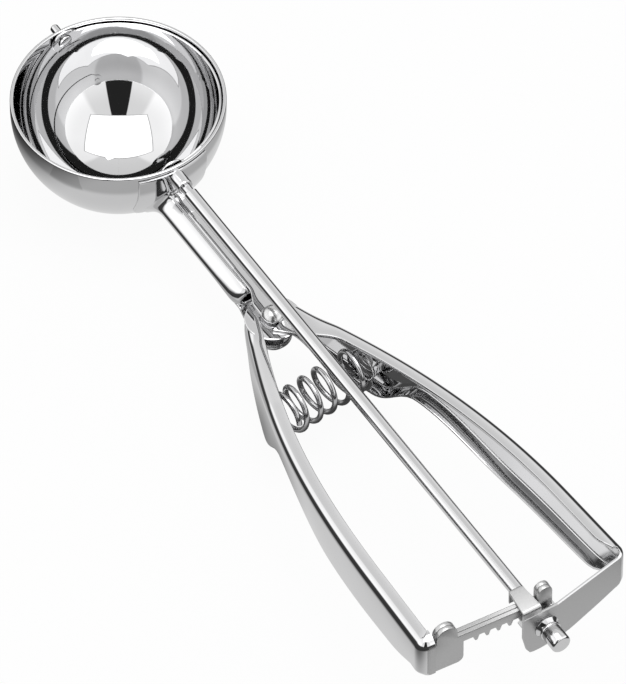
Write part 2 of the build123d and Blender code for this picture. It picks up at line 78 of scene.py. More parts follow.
class Nodes:
    """Adds nodes to a tree. A socket among the inputs is linked, any other value is set."""

    def __init__(self, tree):
        self.tree = tree

    def add(self, kind, inputs=(), **settings):
        node = self.tree.nodes.new(kind)
        for key, value in settings.items():
            setattr(node, key, value)
        for key, value in dict(inputs).items():
            if isinstance(value, bpy.types.NodeSocket):
                self.tree.links.new(value, node.inputs[key])
            else:
                node.inputs[key].default_value = value
        return node

    def link(self, source, target):
        self.tree.links.new(source, target)

    def math(self, operation, *values, clamp=False):
        inputs = dict(enumerate(values))
        node = self.add("ShaderNodeMath", inputs, operation=operation, use_clamp=clamp)
        return node.outputs[0]

    def vector(self, operation, vector, other):
        node = self.add("ShaderNodeVectorMath", {0: vector, 1: other}, operation=operation)
        return node.outputs["Value"]

    def ramp(self, value, low, high, at_low=0.0, at_high=1.0):
        """A smooth step from at_low to at_high as value goes from low to high."""
        inputs = {"Value": value, 1: low, 2: high, 3: at_low, 4: at_high}
        node = self.add("ShaderNodeMapRange", inputs, interpolation_type="SMOOTHSTEP")
        return node.outputs[0]

    def mix(self, share, first, second):
        return self.add("ShaderNodeMix", {0: share, 2: first, 3: second}).outputs[0]

    def scale(self, value, *factors):
        for factor in factors:
            value = self.math("MULTIPLY", value, factor)
        return value

    def noise(self, vector, scale, detail):
        inputs = {"Vector": vector, "Scale": scale, "Detail": detail}
        return self.add("ShaderNodeTexNoise", inputs).outputs["Fac"]

    def bump(self, height, distance, **normal):
        inputs = {"Height": height, "Strength": 1.0, "Distance": distance * MM}
        return self.add("ShaderNodeBump", {**inputs, **normal}).outputs[0]


# Noise scales per metre, and the gain and base by which grain and patches swing the roughness.
PATCH_SCALE, WAVE_SCALE = 55.0, 90.0
GRAIN_WEAR, PATCH_WEAR = (0.45, 0.775), (0.5, 0.75)
PATCH_DARKNESS = 0.96


def steel(name, colour, roughness, grain, grain_bump, wave_bump=0.0, smear=(1.0, 1.0, 1.0)):
    """Stainless steel: fine grain, faint wear in its gloss and slow waviness.

    smear scales the grain's coordinates, so a small number runs long. Bumps are in millimetres."""
    material = bpy.data.materials.new(name)
    material.use_nodes = True
    nodes = Nodes(material.node_tree)
    shader = material.node_tree.nodes["Principled BSDF"]
    shader.inputs["Metallic"].default_value = 1.0
    place = nodes.add("ShaderNodeTexCoord").outputs["Object"]
    drawn = nodes.add("ShaderNodeMapping", {"Vector": place, "Scale": smear}).outputs[0]
    fine = nodes.noise(drawn, grain, 3.0)
    patches = nodes.noise(place, PATCH_SCALE, 4.0)
    worn = nodes.math("MULTIPLY_ADD", fine, *GRAIN_WEAR)
    gloss = nodes.scale(worn, nodes.math("MULTIPLY_ADD", patches, *PATCH_WEAR), roughness)
    nodes.link(gloss, shader.inputs["Roughness"])
    shade = nodes.add("ShaderNodeMix", data_type="RGBA")
    nodes.link(nodes.ramp(patches, 0.3, 0.7), shade.inputs["Factor"])
    shade.inputs["A"].default_value = (*(part * PATCH_DARKNESS for part in colour), 1.0)
    shade.inputs["B"].default_value = (*colour, 1.0)
    nodes.link(shade.outputs["Result"], shader.inputs["Base Color"])
    slow = nodes.bump(nodes.noise(place, WAVE_SCALE, 1.0), wave_bump)
    nodes.link(nodes.bump(fine, grain_bump, Normal=slow), shader.inputs["Normal"])
    return material


POLISHED = steel("polished steel", (0.67, 0.67, 0.675), 0.05, 900.0, 0.0001, wave_bump=0.006)
MIRROR = steel("mirror steel", (0.68, 0.68, 0.685), 0.03, 900.0, 0.0001, wave_bump=0.012)
TURNED = steel("turned steel", (0.68, 0.68, 0.685), 0.06, 2500.0, 0.0002, smear=(0.05, 1.0, 1.0))
SATIN = steel("satin steel", (0.48, 0.48, 0.48), 0.34, 2600.0, 0.003)
TUMBLED = steel("tumbled steel", (0.62, 0.62, 0.62), 0.24, 1800.0, 0.002)
WIRE = steel("spring wire", (0.50, 0.50, 0.505), 0.10, 1500.0, 0.001)
SLOT_MATERIAL = {"polished_steel": POLISHED, "satin_steel": SATIN, "spring_wire": WIRE}

# ---- mesh helpers ----

SHARP_ANGLE = 32.0
WELD, SLIVER = 0.0005, 0.0001
TURNED_STEPS = 72


def new_object(name, data):
    thing = bpy.data.objects.new(name, data)
    bpy.context.scene.collection.objects.link(thing)
    return thing


def to_metres(mesh, shift=0.0):
    mesh.transform(((MM, 0, 0, shift), (0, MM, 0, 0), (0, 0, MM, 0), (0, 0, 0, 1)))


@contextlib.contextmanager
def editing(mesh):
    """Opens a mesh for bmesh work, and writes it back."""
    edit = bmesh.new()
    edit.from_mesh(mesh)
    yield edit
    edit.to_mesh(mesh)
    edit.free()


def add_piece(name, mesh, body, nodes, material, sharp=SHARP_ANGLE):
    """Makes a mesh in millimetres into a piece that rides its body, if any, for its nodes."""
    to_metres(mesh)
    mesh.name = name
    mesh.shade_smooth()
    mesh.set_sharp_from_angle(angle=math.radians(sharp))
    piece = new_object(name, mesh)
    mesh.materials.append(material)
    if body:
        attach(piece, body)
    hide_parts(*nodes)
    return piece


def to_mesh(parts):
    """One clean mesh of several (points, faces) lists."""
    points, faces = [], []
    for part_points, part_faces in parts:
        start = len(points)
        points.extend(tuple(point) for point in part_points)
        faces.extend(tuple(start + corner for corner in face) for face in part_faces)
    mesh = bpy.data.meshes.new("piece")
    mesh.from_pydata(points, [], faces)
    with editing(mesh) as edit:
        bmesh.ops.remove_doubles(edit, verts=edit.verts, dist=WELD)
        bmesh.ops.dissolve_degenerate(edit, edges=edit.edges, dist=SLIVER)
        bmesh.ops.recalc_face_normals(edit, faces=edit.faces)
    return mesh


def loft(rings, loop=False):
    """Faces through rings of points of one length: a capped tube, or a loop of open profiles."""
    size, count = len(rings[0]), len(rings)
    points = [point for ring in rings for point in ring]
    faces = []
    for i in range(count if loop else count - 1):
        here, there = i * size, (i + 1) % count * size
        for j in range(size - 1 if loop else size):
            k = (j + 1) % size
            faces.append((here + j, here + k, there + k, there + j))
    if not loop:
        faces.append(tuple(range(size)))
        faces.append(tuple(range((count - 1) * size, count * size)))
    return points, faces


def full_turn(steps):
    return [2 * math.pi * step / steps for step in range(steps)]


def quarter_turn(steps):
    return [math.pi / 2 * step / steps for step in range(steps + 1)]


def turned(profile, upright=False):
    """A solid of revolution from (along, radius) pairs: on the shaft, or upright on the pivot.

    A profile that starts off the axis is closed into a ring."""
    if profile[0][1] > 0:
        profile = [*profile, profile[0]]
    rings = []
    for angle in full_turn(TURNED_STEPS):
        ring = []
        for along, radius in profile:
            a, b = radius * math.cos(angle), radius * math.sin(angle)
            ring.append((PIVOT_X + a, b, along) if upright else (along, a, b))
        rings.append(ring)
    return loft(rings, loop=True)


def rounded(points, radius, steps):
    """An open run of 2-D points with its inner corners rounded."""
    result = [points[0]]
    for before, here, after in zip(points, points[1:], points[2:]):
        here = np.array(here, float)
        first, second = np.array(before, float) - here, np.array(after, float) - here
        length_a, length_b = np.linalg.norm(first), np.linalg.norm(second)
        cut = min(radius, length_a / 2, length_b / 2)
        begin, end = here + first / length_a * cut, here + second / length_b * cut
        for step in range(steps + 1):
            t = step / steps
            result.append(tuple((1 - t) ** 2 * begin + 2 * t * (1 - t) * here + t**2 * end))
    result.append(points[-1])
    return result


def unit(vector):
    return vector / np.linalg.norm(vector)


def hermite(points, headings, count):
    """Samples a smooth curve through 2-D points with a heading at each."""
    samples = []
    for i in range(len(points) - 1):
        a, b = np.array(points[i], float), np.array(points[i + 1], float)
        span = np.linalg.norm(b - a)
        u, v = (unit(np.array(heading, float)) * span for heading in headings[i : i + 2])
        for step in range(count + (i == len(points) - 2)):
            t = step / count
            samples.append(
                (2 * t**3 - 3 * t**2 + 1) * a
                + (t**3 - 2 * t**2 + t) * u
                + (3 * t**2 - 2 * t**3) * b
                + (t**3 - t**2) * v
            )
    return samples


def smooth(points, count, closed=True):
    """Samples a Catmull-Rom curve through points, count of them to each span."""
    spots = [np.array(point, float) for point in points]
    size = len(spots)
    samples = []
    for i in range(size if closed else size - 1):
        if closed:
            a, b, c, d = (spots[(i + step) % size] for step in (-1, 0, 1, 2))
        else:
            a, b, c, d = (spots[min(max(i + step, 0), size - 1)] for step in (-1, 0, 1, 2))
        for step in range(count):
            t = step / count
            square, cube = 2 * a - 5 * b + 4 * c - d, 3 * b - 3 * c + d - a
            samples.append(0.5 * (2 * b + (c - a) * t + square * t**2 + cube * t**3))
    if not closed:
        samples.append(spots[-1])
    return samples


def ease(value, low, high):
    """0 below low, 1 above high, smooth between."""
    t = min(1.0, max(0.0, (value - low) / (high - low)))
    return t * t * (3 - 2 * t)


def blend(first, second, share):
    return first + (second - first) * share


def along_run(points, i):
    """Unit heading of a run of points at the i-th, from its neighbours."""
    return unit(points[min(i + 1, len(points) - 1)] - points[max(i - 1, 0)])


def right_of(heading):
    return np.array((heading[1], -heading[0]))


# ---- bowl ----

RIM_ROUND, RIM_BAND = 0.45, 0.4
FRONT_BORE, FAR_BORE = 2.3, 1.25
BOWL_TURN_STEPS, BOWL_RISE_STEPS, RIM_BAND_STEPS = 288, 96, 6


def bowl_wall(radius):
    """One face of the bowl's section, from its foot up to the straight band under the rim."""
    wall = []
    for step in range(BOWL_RISE_STEPS + 1):
        angle = math.radians(-90 + 90 * step / BOWL_RISE_STEPS)
        wall.append((radius * math.cos(angle), radius * math.sin(angle)))
    for step in range(1, RIM_BAND_STEPS):
        wall.append((radius, RIM_BAND * step / RIM_BAND_STEPS))
    return wall


def around(turn, radius, rise):
    return (radius * math.cos(turn), radius * math.sin(turn), rise)


def bowl_mesh():
    """The bowl's shell with a rounded rim and its two bores on the X axis."""
    rim = [(BOWL_RADIUS, RIM_BAND), (BOWL_RADIUS, RIM_Z)]
    rim += [(BOWL_INSIDE, RIM_Z), (BOWL_INSIDE, RIM_BAND)]
    profile = bowl_wall(BOWL_RADIUS) + rounded(rim, RIM_ROUND, 5) + bowl_wall(BOWL_INSIDE)[::-1]
    turns = full_turn(BOWL_TURN_STEPS)
    rings = [[around(turn, radius, rise) for radius, rise in profile] for turn in turns]
    mesh = to_mesh([loft(rings, loop=True)])
    with editing(mesh) as edit:
        doomed = []
        for face in edit.faces:
            centre = face.calc_center_median()
            bore = FRONT_BORE if centre.x > 0 else FAR_BORE
            if math.hypot(centre.y, centre.z) < bore and abs(centre.x) > BOWL_INSIDE / 2:
                doomed.append(face)
        bmesh.ops.delete(edit, geom=doomed, context="FACES")
        for vertex in edit.verts:
            if vertex.is_boundary:
                spot = vertex.co
                bore = FRONT_BORE if spot.x > 0 else FAR_BORE
                scale = bore / math.hypot(spot.y, spot.z)
                spot.y *= scale
                spot.z *= scale
                outside = spot.length > (BOWL_RADIUS + BOWL_INSIDE) / 2
                radius = BOWL_RADIUS if outside else BOWL_INSIDE
                spot.x = math.copysign(math.sqrt(radius**2 - bore**2), spot.x)
    return mesh


add_piece("scoop_bowl", bowl_mesh(), "frame", ["bowl"], MIRROR)

# ---- scraper blade ----

BLADE_EASING, HIGH_SHOULDER, LOW_SHOULDER = 0.12, (2.6, 5.2), (-0.5, 3.5)
TAB_STEPS, STRIP_STEPS, BLADE_ACROSS = 28, 150, 14


def blade_edges(turn):
    """Lowest and highest z of the blade at an angle from the shaft, with its round tabs."""
    reach = BLADE_OUTSIDE * math.sin(turn)
    tab = math.sqrt(max(0.0, BLADE_TAB**2 - reach**2))
    if reach < 0:
        return -tab, tab
    high = blend(max(tab, BLADE_HIGH), BLADE_HIGH, ease(reach, *HIGH_SHOULDER))
    low = blend(-tab, BLADE_LOW, ease(reach, *LOW_SHOULDER))
    return min(low, -tab), high


def on_sphere(radius, turn, rise):
    return around(turn, math.sqrt(radius**2 - rise**2), rise)


def blade_mesh():
    """A strip of the sphere on the fixed handle's side, with a rounded tab at each end."""
    tab_turn = math.asin(BLADE_TAB / BLADE_OUTSIDE)
    quarter = quarter_turn(TAB_STEPS)
    turns = [-tab_turn * math.cos(angle) for angle in quarter[:-1]]
    turns += [math.pi * step / STRIP_STEPS for step in range(STRIP_STEPS + 1)]
    turns += [math.pi + tab_turn * math.sin(angle) for angle in quarter[1:]]
    rings = []
    for turn in turns:
        low, high = blade_edges(min(turn, math.pi - turn))
        easing = BLADE_EASING if high - low > 1 else 0.0
        rises = [blend(low, high, step / BLADE_ACROSS) for step in range(BLADE_ACROSS + 1)]
        rises[0] += easing
        rises[-1] -= easing
        middle = (BLADE_OUTSIDE + BLADE_INSIDE) / 2
        ring = [on_sphere(BLADE_OUTSIDE, turn, rise) for rise in rises]
        ring.append(on_sphere(middle, turn, high))
        ring += [on_sphere(BLADE_INSIDE, turn, rise) for rise in reversed(rises)]
        ring.append(on_sphere(middle, turn, low))
        rings.append(ring)
    return to_mesh([loft(rings)])


add_piece("scraper_blade", blade_mesh(), "scraper", ["blade"], POLISHED)

# ---- turned pieces, as (along, radius) profiles ----

FAR_PIN = [
    (-33.5, 0.0), (-33.5, 0.95), (-33.3, 1.15), (-33.1, 1.2), (-27.6, 1.2), (-27.4, 1.2),
    (-27.4, 1.9), (-27.3, 2.0), (-27.1, 1.9), (-26.98, 1.3), (-26.95, 0.0),
]
ROD = [
    (27.0, 0.0), (27.0, 1.3), (27.2, 1.5), (37.0, 1.5), (37.2, 1.55), (37.25, 1.85),
    (37.4, 2.0), (216.9, 2.0), (217.0, 1.5), (220.2, 1.45), (220.2, 0.0),
]
FRONT_BUSH = [
    (28.5, 1.55), (28.5, 2.2), (28.6, 2.3), (33.2, 2.3), (33.5, 2.26), (33.9, 2.3),
    (34.35, 2.3), (34.55, 2.2), (34.6, 2.05), (34.6, 1.6), (34.55, 1.55),
]
REAR_BUSH = [
    (214.0, 2.05), (214.0, 2.8), (214.8, 2.8), (214.8, 3.45), (214.88, 3.58), (215.0, 3.55),
    (215.5, 3.0), (215.9, 2.7), (216.05, 2.6), (216.1, 2.5), (216.1, 2.05),
]
RING = [
    (216.15, 2.0), (216.15, 2.95), (216.25, 3.08), (216.4, 3.1), (216.8, 3.1),
    (216.92, 3.05), (217.0, 2.9), (217.0, 2.0),
]
KNOB = [
    (217.0, 1.5), (217.0, 2.6), (217.1, 2.8), (217.25, 2.85), (221.7, 2.85), (221.95, 2.78),
    (222.25, 2.5), (222.3, 2.35), (222.3, 1.5), (222.3, 0.001), (220.2, 0.001),
    (220.2, 1.5),
]
TURNED_PIECES = (
    ("blade_far_pin", FAR_PIN, "scraper", "blade_pin", POLISHED),
    ("scraper_shaft", ROD, "scraper", "rod", TURNED),
    ("front_bearing", FRONT_BUSH, "frame", "front_bush", POLISHED),
    ("rear_bearing", REAR_BUSH, "frame", "rear_bush", POLISHED),
    ("knob_ring", RING, "scraper", "retaining_ring", POLISHED),
    ("turning_knob", KNOB, "scraper", "end_knob", TURNED),
)
for name, profile, body, node, material in TURNED_PIECES:
    add_piece(name, to_mesh([turned(profile)]), body, [node], material)

# ---- handles: sheet channels that turn a round corner into their end walls ----

# Flange width, and the outside radii of the upper and the lower bend.
HANDLE_WIDTH, WALL_ROUND, LOW_ROUND = 4.8, 3.0, 1.4

# Plan of the fixed handle: (distance from the pivot, distance out from the shaft) pairs.
PLAN_START, PLAN_SHOULDER, PLAN_PALM = (0.0, 8.4), (36.0, 19.9), (104.0, 27.6)
PLAN_HEADING = (1.0, 0.38)
FIXED_CORNER, LEVER_CORNER, CORNER_RADIUS = (132.9, 27.2), (134.4, 28.4), 3.4
END_PLATE = END_PLATE_X - PIVOT_X
FIXED_END_PLAN, LEVER_END_PLAN = ((END_PLATE, 3.5), (END_PLATE, -7.3)), ((134.4, 23.6),)
LEVER_LEAD = ((-3.4, 6.95), (-2.6, 7.3), (-1.7, 7.7), (-0.8, 8.05))

# Side view of the handles: distance from the pivot, depth of the wall, and its lower edge's slope.
SIDE_SHAPE = (
    (0.0, 8.6, -0.45), (27.0, 16.6, 0.0), (44.0, 8.4, 0.1), (80.0, 15.4, 0.1),
    (118.0, 15.2, 0.22), (129.0, 12.6, 0.45),
)
# Height of the walls' lower edge at the pivot, and how the two flanges climb from their ears.
FIXED_ROOT_LOW, LEVER_ROOT_LOW = -17.5, -16.6
FIXED_CLIMB_END = 14.0
LEVER_CLIMB_START, LEVER_CLIMB_SOFTNESS, LEVER_CLIMB_RUN = 4.0, 2.0, 26.0


def plane_top(along):
    return EAR_TOP + CLIMB * along


# Lower edge of a handle's wall: (distance from the pivot, height) pairs.
LOW_LINE = hermite(
    [(along, plane_top(along) - depth) for along, depth, slope in SIDE_SHAPE],
    [(1.0, slope) for along, depth, slope in SIDE_SHAPE],
    16,
)
CURVE_STEPS, STRAIGHT_STEPS, CORNER_STEPS, END_STEPS = 30, 12, 14, 10


def straight_run(first, last, steps):
    """Points after the first, evenly spaced to the last."""
    return [blend(np.array(first), np.array(last), step / steps) for step in range(1, steps + 1)]


def wall_plan(corner, end_plan):
    """Plan of a handle's outside face round the corner and along end_plan, its inward normals,
    and the numbers of the corner's first and last points."""
    first, palm = np.array(PLAN_SHOULDER) - PLAN_START, np.array(PLAN_PALM) - PLAN_SHOULDER
    a, b = np.linalg.norm(first), np.linalg.norm(palm)
    start = np.array(PLAN_HEADING) / math.hypot(*PLAN_HEADING)
    heading = unit(np.array(corner) - PLAN_PALM)
    middle = (3 * (b / a * first + a / b * palm) - b * start - a * heading) / (2 * (a + b))
    stations = [PLAN_START, PLAN_SHOULDER, PLAN_PALM]
    curve = hermite(stations, [start, middle, heading], CURVE_STEPS)
    corner, after = np.array(corner), np.array(end_plan[0])
    leave = unit(after - corner)
    half = math.acos(float(np.clip(-heading.dot(leave), -1, 1))) / 2
    tangent = CORNER_RADIUS / math.tan(half)
    begin, end = corner - heading * tangent, corner + leave * tangent
    curve += straight_run(PLAN_PALM, begin, STRAIGHT_STEPS)
    inward = right_of(heading)
    centre = begin + inward * CORNER_RADIUS
    arc = []
    for step in range(1, CORNER_STEPS + 1):
        angle = (math.pi - 2 * half) * step / CORNER_STEPS
        spoke = -inward * math.cos(angle) + heading * math.sin(angle)
        arc.append(centre + spoke * CORNER_RADIUS)
    end_wall = straight_run(end, after, END_STEPS)
    for before, here in zip(end_plan, end_plan[1:]):
        end_wall += straight_run(before, here, END_STEPS)
    points = curve + arc + end_wall
    normals = [right_of(along_run(points, i)) for i in range(len(points))]
    return points, normals, len(curve), len(curve) + len(arc)


# Edges of the sheet: (height from the face, inset from the edge) where a flange or a lip is whole,
# and (inset from the outside face, height) where the wall is a plain cut sheet.
TIP_EDGE = ((0.9, 0.0), (0.45, 0.08), (0.12, 0.26), (0.0, 0.5))
BACK_EDGE = ((0.0, 0.3), (0.12, 0.05))
LOW_EDGE = ((0.0, 0.3), (0.1, 0.05), (SHEET / 2, 0.0), (SHEET - 0.1, 0.05), (SHEET, 0.3))
PLAIN_TIP = ((SHEET - 0.07, 0.09), (SHEET - 0.2, 0.02), (0.5, 0.0), (0.3, 0.0))
PLAIN_BACK = ((SHEET, 0.24), (SHEET - 0.02, 0.18))
PLAIN_LOW = ((0.05, 0.08), (0.2, 0.0), (0.4, 0.0), (0.6, 0.0), (SHEET - 0.05, 0.08))
TOP_BEND_STEPS, LOW_BEND_STEPS = 8, 4
PLAIN_TOP_DROP, PLAIN_LOW_RISE, PLAIN_LOW_STEP = 0.3, 0.24, 0.3


def channel_section(point, normal, top, low, inner_top, inner_low, plain_top, plain_low):
    """One closed cross-section: two rounded bends with their edges, and the wall between them.

    inner_top and inner_low are the plan points of the flange's and the lip's inner edges.
    plain_top and plain_low, from 0 to 1, turn a half into the cut edge of a flat sheet."""

    def at(inset, height):
        return np.array((*(point + normal * inset), height))

    def edge(inner, reach, height, pull):
        step = (point + normal * reach) - inner
        length = max(np.linalg.norm(step), 0.001)
        return np.array((*(inner + step / length * min(pull, length)), height))

    def upper_bend(sheet, turn):
        radius = WALL_ROUND - sheet
        height = top - sheet - radius * (1 - math.cos(turn))
        return at(sheet + radius * (1 - math.sin(turn)), height)

    def lower_bend(sheet, turn):
        radius = LOW_ROUND - sheet
        height = low + sheet + radius * (1 - math.sin(turn))
        return at(sheet + radius * (1 - math.cos(turn)), height)

    quarter = quarter_turn(TOP_BEND_STEPS)
    tip = [edge(inner_top, WALL_ROUND, top - drop, pull) for drop, pull in TIP_EDGE]
    outside = [upper_bend(0.0, turn) for turn in quarter]
    inside = [upper_bend(SHEET, turn) for turn in reversed(quarter)]
    back = [edge(inner_top, WALL_ROUND, top - SHEET + rise, pull) for rise, pull in BACK_EDGE]
    plain = [at(inset, top - drop) for inset, drop in PLAIN_TIP]
    highest = top - PLAIN_TOP_DROP
    falls = [highest - WALL_ROUND * step / len(quarter) for step in range(len(quarter))]
    plain_outside = [at(0.0, height) for height in falls]
    plain_inside = [at(SHEET, height) for height in reversed(falls)]
    plain_back = [at(inset, top - drop) for inset, drop in PLAIN_BACK]
    upper = [blend(a, b, plain_top) for a, b in zip(tip + outside, plain + plain_outside)]
    under = [blend(a, b, plain_top) for a, b in zip(inside + back, plain_inside + plain_back)]

    quarter = quarter_turn(LOW_BEND_STEPS)
    outside = [lower_bend(0.0, turn) for turn in quarter]
    tip = [edge(inner_low, LOW_ROUND, low + rise, pull) for rise, pull in LOW_EDGE]
    inside = [lower_bend(SHEET, turn) for turn in reversed(quarter)]
    rises = [low + PLAIN_LOW_RISE + PLAIN_LOW_STEP * step for step in range(len(quarter))]
    plain_outside = [at(0.0, height) for height in reversed(rises)]
    plain = [at(inset, low + rise) for inset, rise in PLAIN_LOW]
    plain_inside = [at(SHEET, height) for height in rises]
    lower = zip(outside + tip + inside, plain_outside + plain + plain_inside)
    return upper + [blend(a, b, plain_low) for a, b in lower] + under


# Plan of the fixed handle's drawn lip beside the pivot, and outline of its ear.
EAR_LIP = (
    (1.5, -5.9), (4.6, -2.6), (8.3, 1.2), (12.6, 5.4), (18.6, 9.8), (27.2, 12.0), (36.0, 15.0),
)
LIP_START, LIP_END = 4.4, 27.2
EAR_OUTLINE = (
    (84.5, 4.0), (84.6, -1.5), (83.6, -2.6), (80.5, -5.9), (76.5, -7.2), (73.0, -5.5),
    (71.4, -2.0), (71.6, 3.0), (73.5, 6.9), (78.2, 6.8), (80.6, 8.6), (83.0, 8.4),
)


def interpolate(value, table):
    """Reads a table of (value, result) pairs, straight between its rows."""
    return float(np.interp(value, [row[0] for row in table], [row[1] for row in table]))


def plate(outline, top, edge):
    """A flat sheet of a clockwise plan outline: top edge drawn over, lower edge eased."""
    run = [outline[-1], *outline, outline[0]]
    inward = [right_of(along_run(run, i)) for i in range(1, len(run) - 1)]
    rings = []
    profile = [
        (edge * (1 - math.sin(angle)), top - edge * (1 - math.cos(angle)))
        for angle in quarter_turn(5)
    ]
    profile += [(0.0, top - SHEET + 0.1), (0.1, top - SHEET)]
    for inset, rise in profile:
        rings.append([(*(spot + side * inset), rise) for spot, side in zip(outline, inward)])
    return loft(rings)


def disc(radius, top, bore):
    """A round ear of sheet with softened edges, about the pivot."""
    profile = [
        (top - SHEET, bore), (top - SHEET, radius - 0.3), (top - SHEET + 0.1, radius - 0.08),
        (top - SHEET / 2, radius), (top - 0.14, radius - 0.06), (top - 0.03, radius - 0.22),
        (top, radius - 0.45), (top, bore),
    ]
    return turned(profile, upright=True)


# Where the wall's depth has left its root, and where the two lips have narrowed toward the end.
ROOT_RUN, LIP_RUN = (1.0, 9.0), (16.0, 27.0)
TOP_NARROWING, LOW_NARROWING = (124.0, 131.5), (122.0, 131.5)
LIP_SPARE = 0.05


class Handle:
    """One handle's cross-sections, from its root to the end of its end wall."""

    def __init__(self, corner, end_plan, root_low):
        self.plan = wall_plan(corner, end_plan)
        self.inner_corner = np.array(corner) - HANDLE_WIDTH
        self.root_low = root_low

    def rings(self):
        points, normals, corner_start, corner_end = self.plan
        rings = []
        for i, (point, normal) in enumerate(zip(points, normals)):
            along = point[0]
            turned_share = ease(i, corner_start - 1, corner_end)
            end_top, end_low = self.end_edges(point[1])
            top = blend(self.top(along), end_top, turned_share)
            low = blend(self.root_low, interpolate(along, LOW_LINE), ease(along, *ROOT_RUN))
            low = blend(low, end_low, turned_share)
            inner_top = self.inner_top(point, normal, i > corner_start)
            width = blend(HANDLE_WIDTH, LOW_ROUND + LIP_SPARE, ease(along, *LOW_NARROWING))
            inner_low = point + normal * width
            plain_top = self.plain_top(i, corner_start, corner_end)
            plain_low = ease(i, corner_start - 3, corner_end)
            ring = channel_section(
                point, normal, top, low, inner_top, inner_low, plain_top, plain_low
            )
            rings.append([self.place(*spot) for spot in ring])
        return rings


# Top of the fixed handle's end plate against the distance from the shaft, and its lower edge.
END_PLATE_TOP = ((3.5, 7.2), (24.0, 9.9))
END_PLATE_LOW = (
    (-7.3, -1.0), (-6.9, -3.6), (-6.35, -5.45), (-5.7, -7.2), (-4.8, -7.9), (-2.0, -8.0),
    (8.0, -6.8), (17.0, -4.0), (24.0, -1.5), (27.2, -1.0),
)
LEVER_END_X, LEVER_END_LOW = 134.0, -1.4


class FixedHandle(Handle):
    """The right handle: its flange runs round the ear's lip, and it ends in the flat end plate."""

    lip = smooth(EAR_LIP, 8, closed=False)

    def top(self, along):
        """Height of the flange, level round the pivot and then climbing."""
        return EAR_TOP + CLIMB * along * ease(along, 0.0, FIXED_CLIMB_END)

    def end_edges(self, out):
        return interpolate(out, END_PLATE_TOP), interpolate(out, END_PLATE_LOW)

    def inner_top(self, point, normal, _):
        """Plan of the flange's inner edge: along the lip, along the wall, then close to it."""
        along = point[0]
        x = blend(LIP_START, LIP_END, along / LIP_END)
        drawn = np.array((x, interpolate(x, self.lip)))
        inner = blend(drawn, point + normal * HANDLE_WIDTH, ease(along, *LIP_RUN))
        narrow = point + normal * (WALL_ROUND + LIP_SPARE)
        return blend(inner, narrow, ease(along, *TOP_NARROWING))

    def plain_top(self, i, corner_start, corner_end):
        return ease(i, corner_start - 4, corner_end - 3)

    def place(self, along, out, height):
        return (PIVOT_X + along, out, height)


class LeverHandle(Handle):
    """The left handle: its flange starts under the fixed ear and stays whole round the corner."""

    def __init__(self, corner, end_plan, root_low):
        super().__init__(corner, end_plan, root_low)
        points, normals, corner_start, corner_end = self.plan
        lead = [np.array(spot) for spot in LEVER_LEAD]
        normals = [normals[0]] * len(lead) + normals
        self.plan = lead + points, normals, corner_start + len(lead), corner_end + len(lead)

    def top(self, along):
        """Height of the flange, climbing from below the fixed ear to the same plane."""
        beyond = along - LEVER_CLIMB_START
        past = (beyond + math.sqrt(beyond**2 + LEVER_CLIMB_SOFTNESS)) / 2
        behind = plane_top(LEVER_CLIMB_START) - EAR_TOP + EAR_STEP
        climbing = EAR_TOP - EAR_STEP + past * (CLIMB + behind / LEVER_CLIMB_RUN)
        return min(climbing, plane_top(along))

    def end_edges(self, _):
        return self.top(LEVER_END_X), LEVER_END_LOW

    def inner_top(self, point, normal, past_corner):
        inner = point + normal * HANDLE_WIDTH
        corner_along, corner_out = self.inner_corner
        if past_corner:
            return np.array((corner_along, min(point[1], corner_out)))
        if point[0] > corner_along:
            return np.array((corner_along, min(inner[1], corner_out)))
        return inner

    def plain_top(self, *_):
        return 0.0

    def place(self, along, out, height):
        """The plan mirrored to the other side of the shaft and opened about the pivot."""
        x = along * math.cos(LEVER_OPEN) - out * math.sin(LEVER_OPEN)
        y = -along * math.sin(LEVER_OPEN) - out * math.cos(LEVER_OPEN)
        return (PIVOT_X + x, y, height)


# The folded tab over the racks: its outside in x and z, its sides, and its width toward the bowl.
TAB_TOP, TAB_LEFT, TAB_RIGHT, TAB_INNER = 9.856, -7.3, -1.6, 205.6
TAB_WIDTHS = ((205.5, 0.6), (207.0, 0.8), (211.0, 1.0))
TAB_CORNERS = [(END_PLATE_X, 7.2), (END_PLATE_X, TAB_TOP), (TAB_INNER, TAB_TOP), (TAB_INNER, 5.06)]
TAB_BEND, TAB_EASING = 1.1, 0.12


def folded_tab():
    """A bent strip of sheet from the end plate's top, narrower at its inner end."""
    middle = (TAB_LEFT + TAB_RIGHT) / 2
    spots = [np.array(spot) for spot in rounded(TAB_CORNERS, TAB_BEND, 6)]
    inner = [spot - right_of(along_run(spots, i)) * SHEET for i, spot in enumerate(spots)]
    rings = []
    for y, shrink in (
        (TAB_LEFT, TAB_EASING),
        (TAB_LEFT + TAB_EASING, 0.0),
        (TAB_RIGHT - TAB_EASING, 0.0),
        (TAB_RIGHT, TAB_EASING),
    ):
        outline = [blend(a, b, shrink / SHEET) for a, b in zip(spots, inner)]
        outline += [blend(b, a, shrink / SHEET) for a, b in zip(reversed(spots), reversed(inner))]
        offset = y - middle
        rings.append([(x, middle + offset * interpolate(x, TAB_WIDTHS), z) for x, z in outline])
    return loft(rings)


# The bore for the rear bush, through the end plate from one x to another.
END_BORE, BORE_FROM, BORE_TO = 2.8, 213.0, 216.0


